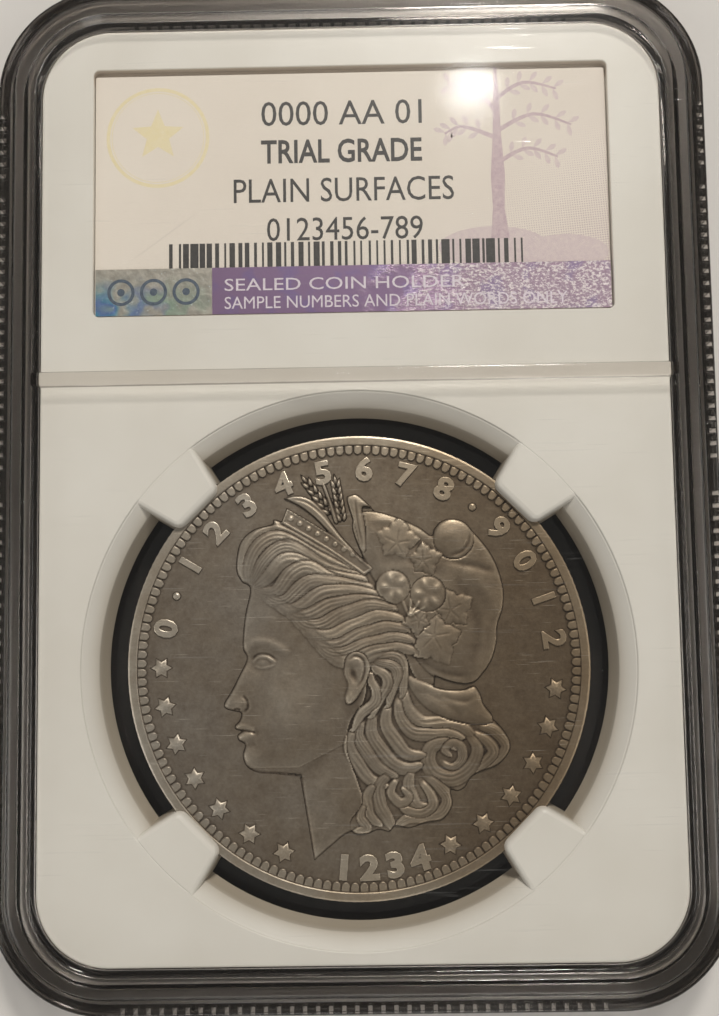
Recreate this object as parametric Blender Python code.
"""Graded coin slab: a coin and its label sealed between two welded clear plastic shells.

The slab lies on its back. X is its width, Y its height (the label is at +Y), Z its thickness
with the front facing up. The origin is the centre of the back, on the plane that it rests on.
"""

import math

import bmesh
import bpy
from mathutils import Vector

MM = 0.001

# Outside of the slab
SLAB_WIDTH = 59.5 * MM
SLAB_HEIGHT = 85.0 * MM
SLAB_THICKNESS = 8.0 * MM
CORNER_RADIUS = 9.4 * MM
WALL = 3.4 * MM  # side wall, from the outside to the cavity

# Front stacking rim, as insets from the outside
LEDGE_DEPTH = 1.0 * MM  # the ledge lies this far under the rim's top
LEDGE_WIDTH = 1.05 * MM
RIM_OUTER_SLOPE = 0.75 * MM
RIM_TOP_WIDTH = 0.85 * MM
RIM_EDGE = 0.1 * MM  # broken edges of the rim's top
RIM_INNER_SLOPE = 0.6 * MM

# Windows
WINDOW_RECESS = 0.7 * MM  # window surface under the rim's top, front and back
WINDOW_THICKNESS = 1.2 * MM

# Back stacking channel, which takes the front rim of the slab below
NEST_CLEARANCE = 0.1 * MM
REST_LAND_WIDTH = 1.0 * MM
CHANNEL_INNER_SLOPE = 0.5 * MM

# Bar across the front window, between the label and the coin
DIVIDER_WIDTH = 1.45 * MM
DIVIDER_TOP_WIDTH = 1.05 * MM
DIVIDER_HEIGHT = 0.3 * MM
DIVIDER_ROOT = 0.4 * MM  # how far the bar is sunk into the window

# Grip ribs on the side walls
SLOT_PITCH = 1.04 * MM
SLOT_WIDTH = 0.34 * MM
SLOT_DEPTH = 0.45 * MM
PLAIN_PAD_WIDTH = 1.5 * MM  # smooth pads that break the ribs on the two long sides
PLAIN_PAD_SPACING = 25.5 * MM

# Joint between the two shells
PARTING_GAP = 0.05 * MM
TONGUE_INSET = 1.2 * MM
TONGUE_WIDTH = 0.8 * MM
TONGUE_HEIGHT = 1.0 * MM
GROOVE_CLEARANCE = 0.1 * MM
WELD_HEIGHT = 0.5 * MM
WELD_GAP = 0.05 * MM

# White insert
INSERT_CLEARANCE = 0.1 * MM
POCKET_DEPTH = 0.8 * MM
LABEL_TOP_MARGIN = 3.1 * MM  # from the insert's top edge to the label pocket
DIVIDER_GAP = 4.8 * MM  # from the label pocket to the divider bar
HOLE_FRONT_GAP = 3.6 * MM  # from the coin's edge to the hole's front edge
HOLE_WALL_GAP = 2.45 * MM
HOLE_THROAT_GAP = 1.75 * MM
HOLE_CHAMFER_DEPTH = 1.25 * MM
HOLE_THROAT_DEPTH = 2.7 * MM  # from the insert's front

# Prongs that hold the coin by its edge
PRONG_COUNT = 4
PRONG_ROOT_WIDTH = 7.7 * MM  # at the hole's front edge
PRONG_TIP_WIDTH = 5.5 * MM
PRONG_TIP_RADIUS = 0.8 * MM
PRONG_LIP = 0.72 * MM  # how far a lip reaches in over the coin's rim
PRONG_ROOT_OVERLAP = 1.0 * MM  # how far a prong's outline runs on into the plate
COIN_CLEARANCE = 0.05 * MM

# Coin
COIN_DIAMETER = 38.1 * MM
COIN_THICKNESS = 2.4 * MM
COIN_RIM_WIDTH = 1.3 * MM
COIN_RIM_HEIGHT = 0.25 * MM
COIN_RIM_SLOPE = 0.2 * MM
COIN_EDGE_BEVEL = 0.15 * MM

# Labels
LABEL_WIDTH = 43.4 * MM
LABEL_HEIGHT = 21.5 * MM
LABEL_THICKNESS = 0.25 * MM
LABEL_CLEARANCE = 0.15 * MM
FOIL_HEIGHT = 4.0 * MM
FOIL_THICKNESS = 0.1 * MM
PATCH_WIDTH = 9.8 * MM
FOIL_GAP = 0.05 * MM
REAR_PATCH_WIDTH = 28.0 * MM
REAR_PATCH_HEIGHT = 12.0 * MM

# Fineness of the facets
CORNER_SEGMENTS = 8
ROUND_SEGMENTS = 96
TIP_SEGMENTS = 3

# Heights and insets that follow from the sizes above
PARTING = SLAB_THICKNESS / 2
LEDGE_TOP = SLAB_THICKNESS - LEDGE_DEPTH
FRONT_WINDOW = SLAB_THICKNESS - WINDOW_RECESS
FRONT_CAVITY = FRONT_WINDOW - WINDOW_THICKNESS
REAR_CAVITY = WINDOW_RECESS + WINDOW_THICKNESS
RIM_TOP_OUTER = LEDGE_WIDTH + RIM_OUTER_SLOPE
RIM_TOP_INNER = RIM_TOP_OUTER + RIM_TOP_WIDTH + 2 * RIM_EDGE
WINDOW_INSET = RIM_TOP_INNER + RIM_INNER_SLOPE
TONGUE_TOP = PARTING + TONGUE_HEIGHT
GROOVE_OUTER = TONGUE_INSET - GROOVE_CLEARANCE
GROOVE_INNER = TONGUE_INSET + TONGUE_WIDTH + GROOVE_CLEARANCE
GROOVE_TOP = TONGUE_TOP + WELD_HEIGHT + 2 * WELD_GAP
INSERT_INSET = WALL + INSERT_CLEARANCE
INSERT_TOP = FRONT_CAVITY - INSERT_CLEARANCE
INSERT_BOTTOM = REAR_CAVITY + INSERT_CLEARANCE
POCKET_TOP_Y = SLAB_HEIGHT / 2 - INSERT_INSET - LABEL_TOP_MARGIN
POCKET_WIDTH = LABEL_WIDTH + 2 * LABEL_CLEARANCE
POCKET_HEIGHT = LABEL_HEIGHT + 2 * LABEL_CLEARANCE
LABEL_Y = POCKET_TOP_Y - POCKET_HEIGHT / 2
DIVIDER_Y = POCKET_TOP_Y - POCKET_HEIGHT - DIVIDER_GAP - DIVIDER_WIDTH / 2
COIN_Y = (DIVIDER_Y - SLAB_HEIGHT / 2 + INSERT_INSET) / 2
COIN_RADIUS = COIN_DIAMETER / 2

WHITE_PLASTIC = ("white_insert", (0.66, 0.62, 0.55), 0.38, 0.0, 0.0)
CLEAR_PLASTIC = ("clear_shell", (0.93, 0.94, 0.93), 0.05, 0.0, 0.9)
WELD_PLASTIC = ("weld_plastic", (0.86, 0.87, 0.86), 0.25, 0.0, 0.7)
PAPER = ("label_paper", (0.67, 0.62, 0.55), 0.7, 0.0, 0.0)
PURPLE_FOIL = ("purple_foil", (0.16, 0.07, 0.30), 0.3, 0.85, 0.0)
HOLOGRAM = ("hologram_film", (0.35, 0.42, 0.50), 0.22, 0.9, 0.0)
SILVER = ("toned_silver", (0.25, 0.22, 0.18), 0.35, 0.9, 0.0)


def clear_scene():
    """Remove every object that the file already holds."""
    for thing in list(bpy.data.objects):
        bpy.data.objects.remove(thing, do_unlink=True)


def material(finish):
    """The named Principled material, made once."""
    name, colour, roughness, metallic, transmission = finish
    found = bpy.data.materials.get(name)
    if found:
        return found
    made = bpy.data.materials.new(name)
    made.use_nodes = True
    shader = made.node_tree.nodes["Principled BSDF"]
    shader.inputs["Base Color"].default_value = (*colour, 1.0)
    shader.inputs["Roughness"].default_value = roughness
    shader.inputs["Metallic"].default_value = metallic
    shader.inputs["Transmission Weight"].default_value = transmission
    return made


def piece(name, bm, finish, smooth_angle=None):
    """Turn a bmesh into one named object with its material."""
    bmesh.ops.recalc_face_normals(bm, faces=bm.faces)
    mesh = bpy.data.meshes.new(name)
    bm.to_mesh(mesh)
    bm.free()
    if smooth_angle:
        mesh.shade_smooth()
        mesh.set_sharp_from_angle(angle=math.radians(smooth_angle))
    made = bpy.data.objects.new(name, mesh)
    made.data.materials.append(material(finish))
    bpy.context.scene.collection.objects.link(made)
    return made


def guide(name, bm):
    """A cutter or a filler for a Boolean, which isn't a piece of the slab."""
    made = piece(name, bm, CLEAR_PLASTIC)
    made.hide_render = True
    made.display_type = "WIRE"
    return made


def combine(target, operation, other):
    """Add a Boolean modifier that stays on the object."""
    modifier = target.modifiers.new(f"{operation.lower()}_{other.name}", "BOOLEAN")
    modifier.operation = operation
    modifier.solver = "EXACT"
    modifier.object = other


def outline(inset, height):
    """The slab's rounded rectangle, moved in by inset, anticlockwise from its right side."""
    radius = CORNER_RADIUS - inset
    corner_x = SLAB_WIDTH / 2 - CORNER_RADIUS
    corner_y = SLAB_HEIGHT / 2 - CORNER_RADIUS
    points = []
    for quarter, (side_x, side_y) in enumerate(((1, 1), (-1, 1), (-1, -1), (1, -1))):
        for step in range(CORNER_SEGMENTS + 1):
            angle = math.pi / 2 * (quarter + step / CORNER_SEGMENTS)
            x = side_x * corner_x + radius * math.cos(angle)
            y = side_y * corner_y + radius * math.sin(angle)
            points.append(Vector((x, y, height)))
    return points


def side_slots(quarter):
    """Distances of the slots from the middle of the straight side that follows a corner."""
    on_long_side = quarter % 2 == 1
    run = (SLAB_HEIGHT if on_long_side else SLAB_WIDTH) - 2 * CORNER_RADIUS
    pads = (-PLAIN_PAD_SPACING, 0.0, PLAIN_PAD_SPACING) if on_long_side else ()
    count = int((run - 2 * SLOT_WIDTH) / SLOT_PITCH)
    places = [(index - (count - 1) / 2) * SLOT_PITCH for index in range(count)]
    reach = (PLAIN_PAD_WIDTH + SLOT_WIDTH) / 2
    return [place for place in places if all(abs(place - pad) > reach for pad in pads)]


def ribbed_outline(height):
    """The outside of the side walls: the rounded rectangle with slots in its straight sides."""
    corners = outline(0.0, height)
    per_corner = CORNER_SEGMENTS + 1
    points = []
    for quarter in range(4):
        points += corners[quarter * per_corner:(quarter + 1) * per_corner]
        start = points[-1]
        end = corners[(quarter + 1) * per_corner % len(corners)]
        along = (end - start).normalized()
        inward = Vector((-along.y, along.x, 0.0)) * SLOT_DEPTH
        middle = (start + end) / 2
        for place in side_slots(quarter):
            near = middle + along * (place - SLOT_WIDTH / 2)
            far = middle + along * (place + SLOT_WIDTH / 2)
            points += [near, near + inward, far + inward, far]
    return points


def add_loop(bm, points):
    """A closed loop of vertices and edges; the vertices are returned in order."""
    verts = [bm.verts.new(point) for point in points]
    for index, vert in enumerate(verts):
        bm.edges.new((vert, verts[(index + 1) % len(verts)]))
    return verts


def bridge(bm, first, second):
    """Four-sided faces between two loops of equal length."""
    count = len(first)
    for index in range(count):
        after = (index + 1) % count
        bm.faces.new((first[index], first[after], second[after], second[index]))


def bridge_all(bm, loops):
    """Bridge each loop to the next."""
    for first, second in zip(loops, loops[1:]):
        bridge(bm, first, second)


def fill_ribbed_ring(bm, ribbed, plain):
    """Fill the flat ring between a ribbed outline and a plain one inside it."""
    start = 0
    for quarter in range(4):
        first = quarter * (CORNER_SEGMENTS + 1)
        last = first + CORNER_SEGMENTS
        for step in range(CORNER_SEGMENTS):
            outer = ribbed[start + step:start + step + 2]
            bm.faces.new((*outer, plain[first + step + 1], plain[first + step]))
        end = start + CORNER_SEGMENTS + 1 + 4 * len(side_slots(quarter))
        side = ribbed[start + CORNER_SEGMENTS:end] + [ribbed[end % len(ribbed)]]
        bm.faces.new((*side, plain[(last + 1) % len(plain)], plain[last]))
        start = end


def shell_mesh(face_profile, ledge, parting, joint_profile):
    """One clear shell: its window and rim, its ribbed side, its joint and its cavity.

    Each profile is a list of (inset, height), from the window out and from the side wall in.
    """
    bm = bmesh.new()
    face_loops = [add_loop(bm, outline(*point)) for point in face_profile]
    joint_loops = [add_loop(bm, outline(*point)) for point in joint_profile]
    side_loops = [add_loop(bm, ribbed_outline(height)) for height in (ledge, parting)]
    bm.faces.new(face_loops[0])
    bridge_all(bm, face_loops)
    fill_ribbed_ring(bm, side_loops[0], face_loops[-1])
    bridge_all(bm, side_loops)
    fill_ribbed_ring(bm, side_loops[1], joint_loops[0])
    bridge_all(bm, joint_loops)
    bm.faces.new(joint_loops[-1])
    return bm


def prism(bm, points, bottom, top):
    """A straight prism over a flat outline, added to bm."""
    lower = [bm.verts.new((x, y, bottom)) for x, y in points]
    upper = [bm.verts.new((x, y, top)) for x, y in points]
    bm.faces.new(lower)
    bm.faces.new(upper)
    bridge(bm, lower, upper)


def box_points(width, height, centre_x=0.0, centre_y=0.0):
    """The four corners of an upright rectangle."""
    signs = ((-1, -1), (1, -1), (1, 1), (-1, 1))
    return [(centre_x + x * width / 2, centre_y + y * height / 2) for x, y in signs]


def turned(profile, centre_y):
    """A round solid from its half section, a list of (radius, height) from top to bottom."""
    bm = bmesh.new()
    loops = []
    for radius, height in profile:
        ring = []
        for step in range(ROUND_SEGMENTS):
            angle = 2 * math.pi * step / ROUND_SEGMENTS
            ring.append((radius * math.cos(angle), centre_y + radius * math.sin(angle), height))
        loops.append(add_loop(bm, ring))
    bm.faces.new(loops[0])
    bridge_all(bm, loops)
    bm.faces.new(loops[-1])
    return bm


def divider_bar():
    """The bar's section along X, sunk into the window and ending inside the rim."""
    reach = SLAB_WIDTH / 2 - RIM_TOP_INNER
    section = (
        (-DIVIDER_WIDTH / 2, FRONT_WINDOW - DIVIDER_ROOT),
        (DIVIDER_WIDTH / 2, FRONT_WINDOW - DIVIDER_ROOT),
        (DIVIDER_WIDTH / 2, FRONT_WINDOW),
        (DIVIDER_TOP_WIDTH / 2, FRONT_WINDOW + DIVIDER_HEIGHT),
        (-DIVIDER_TOP_WIDTH / 2, FRONT_WINDOW + DIVIDER_HEIGHT),
        (-DIVIDER_WIDTH / 2, FRONT_WINDOW),
    )
    bm = bmesh.new()
    ends = []
    for x in (-reach, reach):
        ends.append([bm.verts.new((x, DIVIDER_Y + y, z)) for y, z in section])
        bm.faces.new(ends[-1])
    bridge(bm, *ends)
    return bm


def make_front_shell():
    """Clear front: window, stacking rim, divider bar and the groove of the welded joint."""
    face_profile = (
        (WINDOW_INSET, FRONT_WINDOW),
        (RIM_TOP_INNER, SLAB_THICKNESS - RIM_EDGE / 2),
        (RIM_TOP_INNER - RIM_EDGE, SLAB_THICKNESS),
        (RIM_TOP_OUTER + RIM_EDGE, SLAB_THICKNESS),
        (RIM_TOP_OUTER, SLAB_THICKNESS - RIM_EDGE / 2),
        (LEDGE_WIDTH, LEDGE_TOP),
    )
    seam = PARTING + PARTING_GAP / 2
    joint_profile = (
        (GROOVE_OUTER, seam),
        (GROOVE_OUTER, GROOVE_TOP),
        (GROOVE_INNER, GROOVE_TOP),
        (GROOVE_INNER, seam),
        (WALL, seam),
        (WALL, FRONT_CAVITY),
    )
    shell = piece("front_shell", shell_mesh(face_profile, LEDGE_TOP, seam, joint_profile), CLEAR_PLASTIC)
    combine(shell, "UNION", guide("divider_bar_guide", divider_bar()))


def make_rear_shell():
    """Clear back: window, resting land, stacking channel and the tongue of the welded joint."""
    channel_depth = LEDGE_DEPTH + NEST_CLEARANCE
    channel_outer = REST_LAND_WIDTH + RIM_OUTER_SLOPE - NEST_CLEARANCE
    face_profile = (
        (WINDOW_INSET, WINDOW_RECESS),
        (WINDOW_INSET - CHANNEL_INNER_SLOPE, channel_depth),
        (channel_outer, channel_depth),
        (REST_LAND_WIDTH, 0.0),
    )
    seam = PARTING - PARTING_GAP / 2
    joint_profile = (
        (TONGUE_INSET, seam),
        (TONGUE_INSET, TONGUE_TOP),
        (TONGUE_INSET + TONGUE_WIDTH, TONGUE_TOP),
        (TONGUE_INSET + TONGUE_WIDTH, seam),
        (WALL, seam),
        (WALL, REAR_CAVITY),
    )
    piece("rear_shell", shell_mesh(face_profile, 0.0, seam, joint_profile), CLEAR_PLASTIC)


def make_weld_bead():
    """The plastic that melts between the tongue and the groove and joins the shells."""
    outer = GROOVE_OUTER + WELD_GAP
    inner = GROOVE_INNER - WELD_GAP
    bottom = TONGUE_TOP + WELD_GAP
    top = GROOVE_TOP - WELD_GAP
    corners = ((outer, bottom), (outer, top), (inner, top), (inner, bottom))
    bm = bmesh.new()
    loops = [add_loop(bm, outline(*corner)) for corner in corners]
    bridge_all(bm, loops + loops[:1])
    piece("weld_bead", bm, WELD_PLASTIC)


def prong_points(turn):
    """One prong seen from the front, from its rounded tip to inside the plate."""
    tip = COIN_RADIUS - PRONG_LIP
    root = COIN_RADIUS + HOLE_FRONT_GAP
    flare = (PRONG_ROOT_WIDTH - PRONG_TIP_WIDTH) / 2 / (root - tip)
    beyond = root + PRONG_ROOT_OVERLAP
    half_beyond = PRONG_ROOT_WIDTH / 2 + flare * (beyond - root)
    side_angle = math.atan(flare)
    arc = math.pi / 2 + side_angle  # the turn from the tip's face to the prong's side
    centre_r = tip + PRONG_TIP_RADIUS
    reach = PRONG_TIP_RADIUS / math.tan((math.pi - arc) / 2)
    centre_side = PRONG_TIP_WIDTH / 2 - reach
    points = [(beyond, -half_beyond), (beyond, half_beyond)]
    for side in (1, -1):
        steps = range(TIP_SEGMENTS + 1)
        for step in steps if side < 0 else reversed(steps):
            angle = math.pi - arc * step / TIP_SEGMENTS
            along = centre_r + PRONG_TIP_RADIUS * math.cos(angle)
            across = centre_side + PRONG_TIP_RADIUS * math.sin(angle)
            points.append((along, side * across))
    cos, sin = math.cos(turn), math.sin(turn)
    return [(r * cos - s * sin, COIN_Y + r * sin + s * cos) for r, s in points]


def make_coin_insert():
    """White core plate: coin hole with four prongs, and a label pocket on each face."""
    points = [(point.x, point.y) for point in outline(INSERT_INSET, 0.0)]
    bm = bmesh.new()
    prism(bm, points, INSERT_BOTTOM, INSERT_TOP)
    insert = piece("coin_insert", bm, WHITE_PLASTIC)

    spare = INSERT_CLEARANCE  # cutters run past the faces that they open
    wall_radius = COIN_RADIUS + HOLE_WALL_GAP
    front_radius = COIN_RADIUS + HOLE_FRONT_GAP
    flare = (front_radius - wall_radius) / HOLE_CHAMFER_DEPTH
    hole = (
        (front_radius + flare * spare, INSERT_TOP + spare),
        (wall_radius, INSERT_TOP - HOLE_CHAMFER_DEPTH),
        (COIN_RADIUS + HOLE_THROAT_GAP, INSERT_TOP - HOLE_THROAT_DEPTH),
        (front_radius + flare * spare, INSERT_BOTTOM - spare),
    )
    hole_cutter = guide("coin_hole_cutter", turned(hole, COIN_Y))
    bm = bmesh.new()
    for index in range(PRONG_COUNT):
        turn = 2 * math.pi * (index + 0.5) / PRONG_COUNT
        prism(bm, prong_points(turn), INSERT_BOTTOM - 2 * spare, INSERT_TOP + 2 * spare)
    combine(hole_cutter, "DIFFERENCE", guide("prong_keeper", bm))
    combine(insert, "DIFFERENCE", hole_cutter)

    half = COIN_THICKNESS / 2 + COIN_CLEARANCE
    radius = COIN_RADIUS + COIN_CLEARANCE
    space = turned(((radius, PARTING + half), (radius, PARTING - half)), COIN_Y)
    combine(insert, "DIFFERENCE", guide("coin_space_cutter", space))

    bm = bmesh.new()
    pocket = box_points(POCKET_WIDTH, POCKET_HEIGHT, centre_y=LABEL_Y)
    prism(bm, pocket, INSERT_TOP - POCKET_DEPTH, INSERT_TOP + spare)
    prism(bm, pocket, INSERT_BOTTOM - spare, INSERT_BOTTOM + POCKET_DEPTH)
    combine(insert, "DIFFERENCE", guide("label_pocket_cutter", bm))


def make_coin():
    """The coin's blank: raised rims and flat fields on both faces, and a broken edge."""
    half = COIN_THICKNESS / 2
    field = half - COIN_RIM_HEIGHT
    rim_inner = COIN_RADIUS - COIN_RIM_WIDTH
    front = [
        (rim_inner - COIN_RIM_SLOPE, field),
        (rim_inner, half),
        (COIN_RADIUS - COIN_EDGE_BEVEL, half),
        (COIN_RADIUS, half - COIN_EDGE_BEVEL),
    ]
    back = [(radius, -height) for radius, height in reversed(front)]
    profile = [(radius, PARTING + height) for radius, height in front + back]
    piece("coin", turned(profile, COIN_Y), SILVER, smooth_angle=20)


def sheet(name, width, height, centre, bottom, thickness, finish):
    """A thin rectangle of card or film, with its lower face at bottom."""
    bm = bmesh.new()
    prism(bm, box_points(width, height, *centre), bottom, bottom + thickness)
    piece(name, bm, finish)


def make_labels():
    """Front label with its foil strip and hologram patch, and the label on the back."""
    front_card = INSERT_TOP - POCKET_DEPTH + FOIL_GAP
    front_film = front_card + LABEL_THICKNESS + FOIL_GAP
    strip_y = LABEL_Y - LABEL_HEIGHT / 2 + FOIL_HEIGHT / 2
    strip_width = LABEL_WIDTH - PATCH_WIDTH - FOIL_GAP
    strip_x = (LABEL_WIDTH - strip_width) / 2
    patch_x = (PATCH_WIDTH - LABEL_WIDTH) / 2
    sheet("label_card", LABEL_WIDTH, LABEL_HEIGHT, (0.0, LABEL_Y), front_card, LABEL_THICKNESS, PAPER)
    sheet("label_foil_strip", strip_width, FOIL_HEIGHT, (strip_x, strip_y), front_film, FOIL_THICKNESS,
          PURPLE_FOIL)
    sheet("label_hologram_patch", PATCH_WIDTH, FOIL_HEIGHT, (patch_x, strip_y), front_film, FOIL_THICKNESS,
          HOLOGRAM)

    rear_card = INSERT_BOTTOM + POCKET_DEPTH - FOIL_GAP - LABEL_THICKNESS
    rear_film = rear_card - FOIL_GAP - FOIL_THICKNESS
    sheet("rear_label", LABEL_WIDTH, LABEL_HEIGHT, (0.0, LABEL_Y), rear_card, LABEL_THICKNESS, PAPER)
    sheet("rear_hologram", REAR_PATCH_WIDTH, REAR_PATCH_HEIGHT, (0.0, LABEL_Y), rear_film, FOIL_THICKNESS,
          HOLOGRAM)


def main():
    clear_scene()
    make_rear_shell()
    make_coin_insert()
    make_coin()
    make_labels()
    make_weld_bead()
    make_front_shell()


main()
